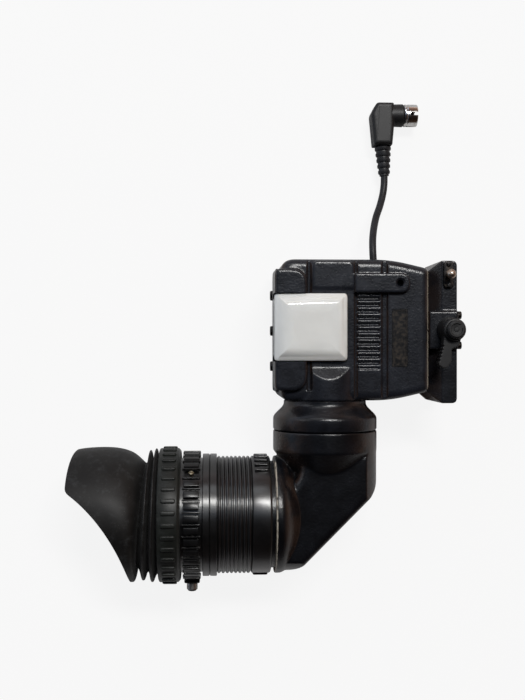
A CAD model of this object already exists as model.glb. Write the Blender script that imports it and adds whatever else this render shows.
# %% [markdown]
# # A studio viewfinder, dressed
#
# The object is the electronic viewfinder of a video camera: a picture tube in a cast housing, a swivelling elbow with a
# mirror, and an eyepiece with a focus ring and a rubber cup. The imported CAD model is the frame: it says where every
# piece is and which pieces move together. This lesson models the visible pieces again with full detail, gives each
# one its finish, and sets up the floor, light and camera.

from math import atan2, cos, pi, radians, sin, sqrt, tan

import bpy
from mathutils import Matrix, Vector


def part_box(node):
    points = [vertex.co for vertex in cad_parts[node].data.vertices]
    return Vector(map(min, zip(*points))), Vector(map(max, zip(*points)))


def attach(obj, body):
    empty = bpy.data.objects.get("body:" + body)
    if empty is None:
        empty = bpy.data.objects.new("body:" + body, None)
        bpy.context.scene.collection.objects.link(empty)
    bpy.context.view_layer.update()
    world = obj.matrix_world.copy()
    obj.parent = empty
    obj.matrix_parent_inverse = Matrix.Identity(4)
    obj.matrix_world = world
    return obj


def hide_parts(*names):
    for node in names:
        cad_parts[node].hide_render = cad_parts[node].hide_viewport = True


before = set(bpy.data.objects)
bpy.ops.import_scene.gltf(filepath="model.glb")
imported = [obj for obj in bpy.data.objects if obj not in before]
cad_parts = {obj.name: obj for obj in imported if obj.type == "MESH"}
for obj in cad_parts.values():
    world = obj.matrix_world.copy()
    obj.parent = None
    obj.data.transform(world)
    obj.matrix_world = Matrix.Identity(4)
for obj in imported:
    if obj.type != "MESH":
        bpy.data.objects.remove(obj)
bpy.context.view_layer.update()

# %% [markdown]
# ## Where things are
#
# The pieces are modelled in millimetres round the point where the eyepiece's axis, X, crosses the elbow's swivel axis,
# Y. That keeps the numbers easy to read: a radius of 38.6 is 38.6 mm. Each finished piece is then scaled to metres and
# moved to where that point is in the frame.

# %% The crossing point
CROSSING = Vector((0.03325, -0.05015, 0.0386))
IN_FRAME = Matrix.Translation(CROSSING) @ Matrix.Scale(0.001, 4)
GAP = 0.3
print("crossing point:", tuple(round(value, 4) for value in CROSSING))

# %% [markdown]
# ## Camera
#
# The object lies on its back and is seen from nearly straight above, a little left of its middle. The camera stands
# about 0.56 m over it. The lens is as long as such a product picture needs, so the upright sides show just a little.

# %% Camera
def linked(name, data):
    """A new object of the scene that shows the data."""
    made = bpy.data.objects.new(name, data)
    bpy.context.scene.collection.objects.link(made)
    return made


CAMERA_PLACE = Vector((-0.02915, 0.0432, 0.6026))
CAMERA_AIM = Vector((-0.00235, 0.0432, 0.0386))
camera_data = bpy.data.cameras.new("camera")
camera_data.sensor_fit = "VERTICAL"
camera_data.sensor_height = 36.0
camera_data.lens = 50.9
camera = linked("camera", camera_data)
back = (CAMERA_PLACE - CAMERA_AIM).normalized()
side = Vector((0, 1, 0)).cross(back).normalized()
up = back.cross(side)
camera.matrix_world = Matrix((
    (side.x, up.x, back.x, CAMERA_PLACE.x), (side.y, up.y, back.y, CAMERA_PLACE.y),
    (side.z, up.z, back.z, CAMERA_PLACE.z), (0, 0, 0, 1),
))
bpy.context.scene.camera = camera
print("camera distance:", round((CAMERA_PLACE - CAMERA_AIM).length, 3), "m")

# %% [markdown]
# ## Tools for finishes
#
# A finish is a page of shader nodes. Wiring nodes by hand is slow to read, so an output is wrapped in a small class
# whose sums and products add the Math nodes, and one method makes any other node: its settings first, then its inputs.
# The sky is built with the same methods.

# %% Wires and pages
class Wire:
    """The output of a node. Sums, differences and products of it are Math nodes."""

    def __init__(self, nodes, socket):
        self.nodes = nodes
        self.socket = socket

    def maths(self, operation, first, second):
        return self.nodes.node("ShaderNodeMath", {"operation": operation}, {0: first, 1: second})

    def __add__(self, other):
        return self.maths("ADD", self, other)

    def __sub__(self, other):
        return self.maths("SUBTRACT", self, other)

    def __rsub__(self, other):
        return self.maths("SUBTRACT", other, self)

    def __mul__(self, other):
        return self.maths("MULTIPLY", self, other)

    __radd__ = __add__
    __rmul__ = __mul__


class Nodes:
    """A tree of shader nodes, and the kinds of node that finishes and the sky share."""

    def __init__(self, tree):
        self.tree = tree

    def node(self, kind, settings, inputs, output=0):
        made = self.tree.nodes.new(kind)
        for key, value in settings.items():
            setattr(made, key, value)
        for key, value in inputs.items():
            self.feed(made.inputs[key], value)
        return Wire(self, made.outputs[output])

    def feed(self, socket, value):
        if isinstance(value, Wire):
            self.tree.links.new(value.socket, socket)
        else:
            socket.default_value = value

    def vectors(self, operation, first, second):
        """Vector maths, also on colours. SCALE takes a number second, other operations a vector."""
        key = "Scale" if operation == "SCALE" else 1
        return self.node("ShaderNodeVectorMath", {"operation": operation}, {0: first, key: second})

    def between(self, value, low, high):
        """Value as a share of the way from low to high, held inside 0 to 1."""
        return self.node("ShaderNodeMapRange", {"interpolation_type": "SMOOTHSTEP"}, {
            "Value": value, "From Min": low, "From Max": high,
        })

    def mix(self, share, first, second):
        inputs = {0: share}
        for index, colour in ((6, first), (7, second)):
            inputs[index] = colour if isinstance(colour, Wire) else (*colour, 1.0)
        return self.node("ShaderNodeMix", {"data_type": "RGBA"}, inputs, 2)


class Page(Nodes):
    """The nodes of one finish, with the patterns that most finishes use."""

    def __init__(self, name, colour, roughness, **constants):
        self.material = bpy.data.materials.new(name)
        self.material.use_nodes = True
        super().__init__(self.material.node_tree)
        self.shader = self.tree.nodes["Principled BSDF"]
        self.set(**{"Base Color": (*colour, 1.0), "Roughness": roughness}, **constants)
        self.where = self.node("ShaderNodeTexCoord", {}, {}, "Object")

    def set(self, **values):
        for key, value in values.items():
            self.feed(self.shader.inputs[key.replace("_", " ")], value)

    def noise(self, size, detail=3.0, roughness=0.6, stretch=None):
        """Cloudy values; size is that of one cloud in millimetres."""
        where = self.where
        if stretch:
            where = self.node("ShaderNodeMapping", {}, {"Vector": where, "Scale": stretch})
        return self.node("ShaderNodeTexNoise", {}, {
            "Vector": where, "Scale": 1000.0 / size, "Detail": detail, "Roughness": roughness,
        }, "Fac")

    def cells(self, size, feature, wobble):
        """Pebble-like cells, size millimetres across, wobbled by noise."""
        cloud = self.node("ShaderNodeTexNoise", {}, {"Vector": self.where, "Scale": 500.0 / size}, "Color")
        where = self.vectors("ADD", self.where, self.vectors("SCALE", cloud, wobble * size / 1000))
        return self.node("ShaderNodeTexVoronoi", {"feature": feature}, {"Vector": where, "Scale": 1000.0 / size},
                         "Distance")

    def bump(self, height, depth, strength=1.0):
        """Height from 0 to 1 as a relief, depth millimetres deep."""
        return self.node("ShaderNodeBump", {}, {"Height": height, "Distance": depth / 1000.0, "Strength": strength})

    def facing(self, axis):
        """How far the surface faces along an axis of the object, -1 to 1."""
        normal = self.node("ShaderNodeTexCoord", {}, {}, "Normal")
        return self.node("ShaderNodeSeparateXYZ", {}, {0: normal}, axis)

    def edges(self, low, high):
        """Worn places: where the surface turns outwards."""
        return self.between(self.node("ShaderNodeNewGeometry", {}, {}, "Pointiness"), low, high)


print("wires and pages are ready")

# %% [markdown]
# ## Finish of the castings
#
# The housing, elbow, neck and foot are aluminium castings under a charcoal paint with a fine leather grain. Painters
# get that grain by spraying a thick coat that contracts as it dries. Two sizes of pebbles, wobbled by noise, give the
# relief. Handling wears edges to a warm brown and leaves dust in the flat places; flanks that face sideways look
# brown as well.

# %% Leather-grain paint
def leather_grain(name, light=1.0, rubbed_at=None, rubbed=0.0, reach=200.0):
    """Charcoal grain paint. A rim at rubbed_at along X, up to reach along Y, is worn down to its primer."""
    page = Page(name, (0.006, 0.0065, 0.008), 0.3, **{"Specular IOR Level": 0.40})
    cloud = page.noise(9.0, 4.0)
    fine = page.noise(1.3, 3.0)
    grain = page.cells(1.15, "SMOOTH_F1", 0.5)
    small = page.cells(0.6, "F1", 0.4)
    tones = ((0.0040, 0.0045, 0.0060), (0.0070, 0.0080, 0.0108))
    tone = page.mix(page.between(cloud, 0.35, 0.7), *([part * light for part in tone] for tone in tones))
    sideways = page.facing("X")
    flank = page.between(sideways * sideways, 0.04, 0.6) * page.between(page.noise(14.0), 0.3, 0.6)
    tone = page.mix(flank * 0.85, tone, (0.030, 0.018, 0.013))
    wear = page.edges(0.56, 0.64) * page.between(page.noise(2.2, 4.0), 0.5, 0.7)
    tone = page.mix(wear * 0.35, tone, (0.07, 0.055, 0.045))
    dust = page.between(page.noise(0.35, 2.0), 0.63, 0.72) * page.between(page.facing("Z"), 0.5, 0.9)
    tone = page.mix(dust * 0.05, tone, (0.22, 0.21, 0.19))
    if rubbed_at is not None:
        along, up = (page.node("ShaderNodeSeparateXYZ", {}, {0: page.where}, axis) for axis in "XY")
        off = (along - (CROSSING.x + rubbed_at / 1000)) * 1000
        line = (1.0 - page.between(off * off, 0.06, 0.28)) * page.between(page.noise(3.0, 4.0), 0.32, 0.48) * rubbed
        line = line * (1.0 - page.between(up, CROSSING.y + reach / 1000, CROSSING.y + (reach + 1) / 1000))
        tone = page.mix(line, tone, (0.46, 0.41, 0.33))
    page.set(Base_Color=tone, Roughness=0.18 + cloud * 0.09 + fine * 0.06,
             Normal=page.bump((1.0 - grain) * 0.6 + (1.0 - small) * 0.4, 0.11, 0.85))
    return page.material


CASTING = leather_grain("leather_grain_paint", 1.1)
ELBOW_PAINT = leather_grain("leather_grain_paint_elbow", 0.6, -29.1, 0.95, 30.2)
FRONT_PAINT = leather_grain("leather_grain_paint_front", 1.9, 55.7, 0.55)
print("finish:", CASTING.name)

# %% [markdown]
# ## Finish of the eyepiece
#
# The barrel and the locking ring wear a gloss wrinkle paint: deeper, rounder lumps than the castings have, and a
# shine that picks out each one. Rims that rub on their neighbours are polished, with a trace of bare metal.

# %% Wrinkle gloss paint
def wrinkle_gloss():
    page = Page("wrinkle_gloss_paint", (0.004, 0.004, 0.0042), 0.25, **{"Coat Roughness": 0.2})
    lumps = page.cells(0.62, "SMOOTH_F1", 0.9)
    waves = page.noise(0.9, 2.0, 0.5)
    cloud = page.noise(7.0)
    tone = page.mix(page.between(cloud, 0.3, 0.7), (0.0028, 0.0028, 0.0030), (0.0052, 0.0050, 0.0050))
    wear = page.edges(0.60, 0.68) * page.between(page.noise(1.7, 4.0), 0.5, 0.68)
    tone = page.mix(wear * 0.5, tone, (0.12, 0.10, 0.085))
    page.set(Base_Color=tone, Roughness=0.24 + cloud * 0.12 + wear * 0.1, Coat_Weight=0.5 - wear * 0.3,
             Normal=page.bump(lumps * 0.55 + waves * 0.45, 0.055, 0.75))
    return page.material


GLOSS = wrinkle_gloss()
print("finish:", GLOSS.name)

# %% [markdown]
# ## Plastics and rubbers
#
# Moulded plastic has the fine, even spark texture of its steel mould and shines where fingers touch it. Rubber is
# matte, greys a little with age and holds dust. The clamping ring's rubber is firmer and a shade greener than the
# cup's.

# %% Plastic and rubber
def moulded_plastic(name, dark, light, rough, size):
    page = Page(name, light, rough, **{"Specular IOR Level": 0.38})
    cloud = page.noise(6.0, 4.0)
    spark = page.noise(size, 3.0, 0.7)
    wear = page.edges(0.58, 0.66) * page.between(page.noise(1.5, 3.0), 0.48, 0.68)
    tone = page.mix(page.between(cloud, 0.35, 0.65), dark, light)
    tone = page.mix(wear * 0.35, tone, (0.12, 0.115, 0.11))
    page.set(Base_Color=tone, Roughness=rough - 0.08 + spark * 0.2 - wear * 0.1, Normal=page.bump(spark, 0.02, 0.6))
    return page.material


def aged_rubber(name, dark, light, rough, dusty):
    page = Page(name, light, rough, **{"Sheen Weight": 0.02, "Sheen Roughness": 0.5, "Specular IOR Level": 0.24})
    cloud = page.noise(11.0, 5.0)
    grain = page.noise(0.3, 2.0)
    specks = page.between(page.noise(0.45, 2.0, 0.8), 0.66, 0.76) * page.between(page.noise(8.0), 0.42, 0.6)
    bloom = page.between(page.noise(5.0, 6.0, 0.7), 0.5, 0.75)
    tone = page.mix(page.between(cloud, 0.3, 0.7), dark, light)
    tone = page.mix(bloom * dusty * 0.3, tone, (0.16, 0.17, 0.18))
    tone = page.mix(specks * dusty, tone, (0.36, 0.35, 0.32))
    page.set(Base_Color=tone, Roughness=rough - 0.06 + cloud * 0.14, Normal=page.bump(grain + cloud, 0.03, 0.5))
    return page.material


MOULDED = moulded_plastic("black_plastic", (0.0035, 0.0035, 0.0038), (0.0062, 0.0062, 0.0065), 0.27, 0.25)
PLUG_PLASTIC = moulded_plastic("plug_plastic", (0.005, 0.005, 0.0055), (0.0085, 0.0085, 0.009), 0.46, 0.4)
RUBBER = aged_rubber("dark_rubber", (0.0046, 0.0043, 0.0041), (0.0085, 0.0080, 0.0076), 0.50, 0.4)
CORD_RUBBER = aged_rubber("cord_rubber", (0.010, 0.010, 0.0115), (0.017, 0.0175, 0.020), 0.42, 0.25)
RING_RUBBER = aged_rubber("ring_rubber", (0.0085, 0.0095, 0.0085), (0.013, 0.0145, 0.0125), 0.38, 0.25)
print("finishes:", MOULDED.name, RUBBER.name, RING_RUBBER.name)

# %% [markdown]
# ## Milky lens, glass and mirror
#
# The tally lens is white plastic that glows when a lamp behind it is lit; unlit it is milky with a clear, glossy skin.
# The eyepiece lenses are clear, with a faint bloom of old coating and a few smudges.

# %% Lens, glass, mirror
def milky_plastic():
    page = Page("milky_lens", (0.66, 0.67, 0.65), 0.22, **{
        "Coat Roughness": 0.03, "Specular IOR Level": 0.05, "Subsurface Weight": 0.25, "Subsurface Scale": 0.004,
        "Subsurface Radius": (1.0, 0.95, 0.85),
    })
    cloud = page.noise(13.0, 3.0)
    specks = page.between(page.noise(0.5, 2.0, 0.8), 0.74, 0.80)
    tone = page.mix(page.between(cloud, 0.35, 0.7), (0.72, 0.725, 0.70), (0.75, 0.755, 0.73))
    tone = page.mix(specks * 0.4, tone, (0.30, 0.28, 0.25))
    page.set(Base_Color=tone, Roughness=0.26 + cloud * 0.08, Coat_Weight=0.8 - specks * 0.4,
             Normal=page.bump(page.noise(4.0), 0.006, 0.3))
    return page.material


def clear_glass():
    page = Page("optical_glass", (0.92, 0.96, 0.98), 0.02, **{"Transmission Weight": 1.0, "IOR": 1.52})
    smudge = page.between(page.noise(9.0, 5.0), 0.55, 0.75)
    page.set(Base_Color=page.mix(smudge, (0.93, 0.95, 0.99), (0.86, 0.88, 0.90)), Roughness=0.01 + smudge * 0.05)
    return page.material


def silvered_glass():
    page = Page("silvered_mirror", (0.86, 0.87, 0.88), 0.03, Metallic=1.0)
    bloom = page.between(page.noise(6.0, 5.0), 0.55, 0.8)
    page.set(Base_Color=page.mix(bloom, (0.88, 0.89, 0.90), (0.70, 0.68, 0.62)), Roughness=0.02 + bloom * 0.1)
    return page.material


MILKY = milky_plastic()
CLEAR = clear_glass()
MIRROR = silvered_glass()
print("finishes:", MILKY.name, CLEAR.name, MIRROR.name)

# %% [markdown]
# ## Metals
#
# Small metal parts differ in colour and in how they were made. Turned steel and brass keep fine rings from the tool;
# blackened steel is dull; the ball of the stop pin is nickel, rubbed through to a bronze tone; the plug's shell is
# bright chrome. One recipe serves all: stretched noise for tool marks, clouds for tarnish.

# %% Metal recipe
def metal(name, clean, tarnish, rough, marks=0.5, tarnished=0.5):
    page = Page(name, clean, rough, Metallic=1.0)
    cloud = page.between(page.noise(1.8, 5.0), 0.5 - tarnished * 0.2, 0.72)
    lines = page.noise(0.9, 2.0, 0.7, stretch=(1.0, 1.0, 14.0))
    page.set(Base_Color=page.mix(cloud, clean, tarnish), Roughness=rough + cloud * 0.18 + (lines - 0.5) * 0.12,
             Normal=page.bump(lines, 0.012 * marks, 0.6))
    return page.material


STEEL = metal("plain_steel", (0.50, 0.49, 0.47), (0.30, 0.28, 0.25), 0.30)
BLACK_STEEL = metal("blackened_steel", (0.022, 0.022, 0.023), (0.045, 0.038, 0.032), 0.34)
NICKEL = metal("worn_nickel", (0.50, 0.43, 0.36), (0.30, 0.21, 0.15), 0.28, 0.4, 0.8)
BRASS = metal("brass", (0.36, 0.32, 0.23), (0.16, 0.14, 0.10), 0.36)
CHROME = metal("chrome_shell", (0.72, 0.72, 0.71), (0.48, 0.46, 0.42), 0.12, 0.3, 0.2)
print("metals:", STEEL.name, BLACK_STEEL.name, NICKEL.name, BRASS.name, CHROME.name)

# %% [markdown]
# ## Inner pieces
#
# The boards, the coil and the picture tube are inside, but the file may be opened and looked at from within. A board
# is green lacquer over copper tracks; winding wire shows as fine bands; tube glass is grey and dark.

# %% Boards, winding, tube glass
def circuit_board():
    page = Page("circuit_board", (0.03, 0.14, 0.06), 0.4)
    tracks = page.node("ShaderNodeTexBrick", {}, {"Vector": page.where, "Scale": 260.0, "Mortar Size": 0.06}, "Fac")
    cloud = page.noise(10.0)
    tone = page.mix(tracks, (0.03, 0.13, 0.06), (0.07, 0.22, 0.09))
    page.set(Base_Color=page.mix(page.between(cloud, 0.6, 0.8) * 0.3, tone, (0.10, 0.09, 0.05)),
             Roughness=0.32 + cloud * 0.2, Normal=page.bump(tracks, 0.03, 0.5))
    return page.material


def copper_winding():
    page = Page("copper_winding", (0.45, 0.20, 0.09), 0.35, Metallic=0.8)
    turns = page.node("ShaderNodeTexWave", {"bands_direction": "Y"}, {"Vector": page.where, "Scale": 800.0}, "Fac")
    page.set(Base_Color=page.mix(turns, (0.28, 0.11, 0.05), (0.58, 0.27, 0.12)), Normal=page.bump(turns, 0.1, 0.8),
             Roughness=0.28 + page.noise(3.0) * 0.2)
    return page.material


def tube_glass():
    page = Page("tube_glass", (0.10, 0.11, 0.12), 0.08, **{"Coat Weight": 0.5})
    cloud = page.noise(12.0)
    page.set(Base_Color=page.mix(page.between(cloud, 0.3, 0.7), (0.07, 0.08, 0.09), (0.16, 0.17, 0.18)),
             Roughness=0.05 + cloud * 0.1)
    return page.material


BOARD = circuit_board()
COPPER = copper_winding()
TUBE = tube_glass()

# %% [markdown]
# ## Tools for shapes
#
# Every piece starts as a primitive and is shaped with the same few moves. A flat shape is a circle whose corners are
# moved onto an outline and extruded. A round piece is a circle moved onto half its section and spun round its axis.
# Operators act on everything that is selected, so each tool first selects only its own piece.

# %% Selecting
def mode(kind):
    bpy.ops.object.mode_set(mode=kind)


def only(*things):
    if bpy.context.object and bpy.context.object.mode != "OBJECT":
        mode("OBJECT")
    bpy.ops.object.select_all(action="DESELECT")
    for thing in things:
        thing.select_set(True)
    if things:
        bpy.context.view_layer.objects.active = things[0]


def edit(thing, kind="VERT", action="SELECT"):
    only(thing)
    mode("EDIT")
    bpy.ops.mesh.select_mode(type=kind)
    bpy.ops.mesh.select_all(action=action)


def close_up():
    """Merges doubles, drops loose edges and points all faces outwards."""
    bpy.ops.mesh.select_mode(type="VERT")
    bpy.ops.mesh.select_all(action="SELECT")
    bpy.ops.mesh.remove_doubles(threshold=0.002)
    bpy.ops.mesh.delete_loose()
    bpy.ops.mesh.select_all(action="SELECT")
    bpy.ops.mesh.normals_make_consistent(inside=False)
    mode("OBJECT")


print("selecting is ready")

# %% Flat shapes and turned shapes
TO_AXIS = {
    "Z": Matrix.Identity(4),
    "X": Matrix(((0, 0, 1, 0), (1, 0, 0, 0), (0, 1, 0, 0), (0, 0, 0, 1))),
    "Y": Matrix(((0, 1, 0, 0), (0, 0, 1, 0), (1, 0, 0, 0), (0, 0, 0, 1))),
}
DIRECTIONS = {"X": Vector((1, 0, 0)), "Y": Vector((0, 1, 0)), "Z": Vector((0, 0, 1))}


def shift(x, y, z):
    return Matrix.Translation((x, y, z))


def spun(angle, axis="X"):
    return Matrix.Rotation(angle, 4, axis)


def moved(thing, matrix):
    thing.data.transform(matrix)
    return thing


def outline_ring(name, places, filled):
    """A circle whose corners are moved onto the places given."""
    only()
    bpy.ops.mesh.primitive_circle_add(vertices=len(places), fill_type="NGON" if filled else "NOTHING")
    made = bpy.context.object
    made.name = name
    made.data.name = name
    for corner, place in zip(made.data.vertices, places):
        corner.co = place
    return made


def slab(name, outline, low, high, axis="Z"):
    """An outline with thickness. Along X its pairs are (y, z), along Y (z, x), along Z (x, y)."""
    made = outline_ring(name, [(a, b, low) for a, b in outline], True)
    edit(made)
    bpy.ops.mesh.extrude_region_move(TRANSFORM_OT_translate={"value": (0, 0, high - low)})
    close_up()
    return moved(made, TO_AXIS[axis])


def lathe(name, section, axis="X", steps=96, where=(0, 0, 0)):
    """A section of (along the axis, radius) pairs, spun once round the axis through a point."""
    place = {
        "X": lambda along, radius: (along, radius, 0), "Y": lambda along, radius: (radius, along, 0),
        "Z": lambda along, radius: (radius, 0, along),
    }[axis]
    made = outline_ring(name, [place(along, radius) for along, radius in section], False)
    edit(made)
    bpy.ops.mesh.spin(steps=steps, angle=2 * pi, center=(0, 0, 0), axis=DIRECTIONS[axis])
    close_up()
    return moved(made, shift(*where))


def block(name, low, high):
    (left, bottom, under), (right, top, over) = low, high
    return slab(name, [(left, bottom), (right, bottom), (right, top), (left, top)], under, over)


def bar(name, radius, low, high, axis, where=(0, 0, 0), steps=32):
    """A plain round bar, for bores and shafts."""
    return lathe(name, [(high, 0.0), (high, radius), (low, radius), (low, 0.0)], axis, steps, where)


print("slab, lathe, block and bar are ready")

# %% Outlines
def rounded(corners, steps=6):
    """An outline from (a, b, radius) corners, each drawn as a smooth bend of its own size."""
    outline = []
    count = len(corners)
    for i, (a, b, radius) in enumerate(corners):
        here = Vector((a, b))
        before = Vector(corners[i - 1][:2]) - here
        after = Vector(corners[(i + 1) % count][:2]) - here
        if radius <= 0:
            outline.append((a, b))
            continue
        reach = min(radius / tan(before.angle(after) / 2), before.length * 0.49, after.length * 0.49)
        start = here + before.normalized() * reach
        end = here + after.normalized() * reach
        for step in range(steps + 1):
            t = step / steps
            point = start * (1 - t) ** 2 + here * 2 * t * (1 - t) + end * t ** 2
            outline.append((point.x, point.y))
    return outline


def inset(corners, distance):
    """The corners of the outline that lies inside by a distance. They run anticlockwise."""
    inner = []
    count = len(corners)
    for i, (a, b, radius) in enumerate(corners):
        here = Vector((a, b))
        along_in = (here - Vector(corners[i - 1][:2])).normalized()
        along_out = (Vector(corners[(i + 1) % count][:2]) - here).normalized()
        left_in = Vector((-along_in.y, along_in.x))
        middle = (left_in + Vector((-along_out.y, along_out.x))).normalized()
        off = middle * (distance / middle.dot(left_in))
        inner.append((a + off.x, b + off.y, max(radius - distance, 0.05) if radius > 0 else 0.0))
    return inner


def rim(level, width, steps=5, sign=1):
    """Stations of a rounded rim that ends at a level, or with sign -1 of one that starts there."""
    turns_in = [pi / 2 * i / steps for i in range(steps + 1)][::sign]
    return [(level - sign * width * (1 - sin(turn)), width * (1 - cos(turn))) for turn in turns_in]


def drawn(name, corners, stations, axis="Z", bend=7):
    """A rounded outline drawn up through stations of (level, how far inside the outline)."""
    outline = rounded(inset(corners, stations[0][1]), bend)
    level = stations[0][0]
    made = outline_ring(name, [(a, b, level) for a, b in outline], True)
    edit(made)
    for new_level, distance in stations[1:]:
        bpy.ops.mesh.extrude_region_move(TRANSFORM_OT_translate={"value": (0, 0, new_level - level)})
        mode("OBJECT")
        target = rounded(inset(corners, distance), bend)
        for corner in made.data.vertices:
            if corner.select:
                here = corner.co
                off = [(a - here.x) ** 2 + (b - here.y) ** 2 for a, b in outline]
                corner.co = (*target[off.index(min(off))], new_level)
        mode("EDIT")
        outline = target
        level = new_level
    close_up()
    return moved(made, TO_AXIS[axis])


def rectangle(left, right, bottom, top, radius=0.0):
    return [(left, bottom, radius), (right, bottom, radius), (right, top, radius), (left, top, radius)]


def arc(middle, radius, start, end, steps):
    """Pairs along a circle between two angles in degrees."""
    return [
        (middle[0] + radius * cos(radians(start + (end - start) * i / steps)),
         middle[1] + radius * sin(radians(start + (end - start) * i / steps)))
        for i in range(steps + 1)
    ]


print("outlines are ready")

# %% Rounding, cutting, joining
def round_edges(thing, width, segments, wanted):
    """Bevels the edges for whose middle wanted is true."""
    edit(thing, "EDGE", "DESELECT")
    mode("OBJECT")
    corners = thing.data.vertices
    for edge in thing.data.edges:
        first, last = (corners[i].co for i in edge.vertices)
        edge.select = wanted((first + last) / 2)
    mode("EDIT")
    bpy.ops.mesh.bevel(offset=width, segments=segments, profile=0.5, affect="EDGES", clamp_overlap=True)
    mode("OBJECT")


def applied(thing, kind, **settings):
    """Adds a modifier with its settings and applies it."""
    only(thing)
    made = thing.modifiers.new("step", kind)
    for key, value in settings.items():
        setattr(made, key, value)
    bpy.ops.object.modifier_apply(modifier=made.name)
    return thing


def break_edges(thing, width, segments=2, angle=35.0):
    """Rounds every edge sharper than an angle, as a tumbler or a mould does."""
    return applied(thing, "BEVEL", width=width, segments=segments, limit_method="ANGLE", angle_limit=radians(angle))


def drop(thing):
    bpy.data.objects.remove(thing, do_unlink=True)


def cut(thing, *tools):
    for tool in tools:
        applied(thing, "BOOLEAN", operation="DIFFERENCE", object=tool, solver="EXACT")
        drop(tool)
    return thing


def gather(name, *things):
    """Makes one object of several closed shells."""
    only(*things)
    bpy.ops.object.join()
    things[0].name = name
    things[0].data.name = name
    return things[0]


def melt(thing, grain, passes, keep):
    """Runs overlapping shells together as a casting does, with a soft fillet wherever they meet."""
    applied(thing, "REMESH", mode="VOXEL", voxel_size=grain)
    applied(thing, "SMOOTH", factor=0.5, iterations=passes)
    return applied(thing, "DECIMATE", ratio=keep)


def copies(thing, moves):
    """Copies of a piece, each with its own mesh, moved by one matrix each and gathered into one object."""
    made = []
    for move in moves:
        copy = thing.copy()
        copy.data = thing.data.copy()
        bpy.context.scene.collection.objects.link(copy)
        made.append(moved(copy, move))
    drop(thing)
    return gather(made[0].name, *made)


def turns(count):
    """Even turns about X, all the way round."""
    return [spun(2 * pi * i / count) for i in range(count)]


print("rounding, cutting, joining and copying are ready")

# %% Placing
def place(thing, finish, body, *nodes, angle=32.0):
    """Puts a finished piece in the frame, gives it its finish and lets it ride on its body."""
    only(moved(thing, IN_FRAME))
    thing.data.materials.clear()
    thing.data.materials.append(finish)
    bpy.ops.object.shade_smooth_by_angle(angle=radians(angle))
    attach(thing, body)
    if nodes:
        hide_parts(*nodes)
    print(f"{thing.name}: {len(thing.data.polygons)} faces on {body}")


print("placing is ready")

# %% [markdown]
# ## The cord
#
# A cord is a length of something flexible, so its route comes first and its thickness second. This one leaves a
# gland at the top of the housing, sinks to the table in an easy bend and ends in the plug's boot. The picture shows all
# of it, so the route's length is its real length.

# %% Cord
CORD_ROUTE = [
    (0.06255, 0.09575, 0.03045), (0.06235, 0.10105, 0.0300), (0.06275, 0.10775, 0.0272),
    (0.06415, 0.11475, 0.0222), (0.06655, 0.12255, 0.0162), (0.06945, 0.12945, 0.0116),
    (0.07185, 0.13705, 0.0083), (0.07285, 0.14345, 0.0072), (0.07295, 0.14825, 0.0071),
]
CORD_DIAMETER = 0.0042


def smooth_route(points, per_span):
    """Points on one smooth curve through the route's own points."""
    places = [Vector(point) for point in points]
    ends = [places[0] * 2 - places[1]] + places + [places[-1] * 2 - places[-2]]
    route = []
    for a, b, c, d in zip(ends, ends[1:], ends[2:], ends[3:]):
        for step in range(per_span):
            t = step / per_span
            route.append(0.5 * (b * 2 + (c - a) * t + (a * 2 - b * 5 + c * 4 - d) * t ** 2
                                + (b * 3 - a - c * 3 + d) * t ** 3))
    return route + [places[-1]]


cord_points = smooth_route(CORD_ROUTE, 4)
cord_length = sum((b - a).length for a, b in zip(cord_points, cord_points[1:]))
cord_curve = bpy.data.curves.new("cord_line", "CURVE")
cord_curve.dimensions = "3D"
cord_curve.bevel_depth = CORD_DIAMETER / 2
cord_curve.bevel_resolution = 6
cord_curve.use_fill_caps = True
spline = cord_curve.splines.new("POLY")
spline.points.add(len(cord_points) - 1)
for point, spot in zip(spline.points, cord_points):
    point.co = (*spot, 1.0)
spline.use_smooth = True
cord_curve.materials.append(CORD_RUBBER)
cord = linked("viewfinder_cord", cord_curve)
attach(cord, "base")
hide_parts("cord")
print("cord:", len(cord_points), "points,", round(cord_length, 4), "m")

# %% [markdown]
# ## Boot, plug and gland
#
# The boot is soft rubber with ribs cut between its rings, so that it bends evenly. It is turned: the ribs are part of
# the section. The plug is one moulding with a right-angle leg; such mouldings have no sharp edges, so leg and
# barrel are run together by a fine remesh. The gland is another turned piece, held between the housing's two shells.

# %% Boot and gland
BOOT_FOOT = Vector((39.7, 198.7, -31.5))
BOOT_LENGTH = 17.6
BOOT_RIBS = 5
GLAND_X = 29.3
GLAND_Z = -8.15


def boot():
    section = [(0.0, 0.0), (0.0, 2.7)]
    pitch = BOOT_LENGTH / BOOT_RIBS
    for i in range(BOOT_RIBS):
        low = pitch * i
        radius = 3.6 + 1.3 * i / (BOOT_RIBS - 1)
        section += [
            (low + 0.15, radius - 0.75), (low + pitch * 0.28, radius - 0.8), (low + pitch * 0.36, radius - 0.25),
            (low + pitch * 0.5, radius), (low + pitch * 0.84, radius), (low + pitch * 0.96, radius - 0.3),
        ]
    section += [(BOOT_LENGTH, 4.3), (BOOT_LENGTH, 0.0)]
    return moved(lathe("boot", section, "Y", 64), shift(*BOOT_FOOT) @ spun(radians(3.0), "Z"))


place(boot(), CORD_RUBBER, "base", "plug_boot")
gland = lathe("gland", [
    (1.8, 0.0), (1.8, 2.9), (1.6, 3.2), (1.3, 4.0), (0.9, 4.4), (0.3, 4.4), (0.3, 3.2), (-3.1, 3.2), (-3.1, 4.4),
    (-4.5, 4.4), (-4.5, 0.0),
], "Y", 64, (GLAND_X, 143.8, GLAND_Z))
place(gland, CORD_RUBBER, "base", "cord_gland")

# %% Plug
PLUG_Z = -31.5
LEG_X = 37.86
LEG_LOW = 216.58
LEG_HIGH = 242.18
LEG_HALF = 6.95
BARREL_Y = 235.38
SHELL_RADIUS = 6.6


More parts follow.
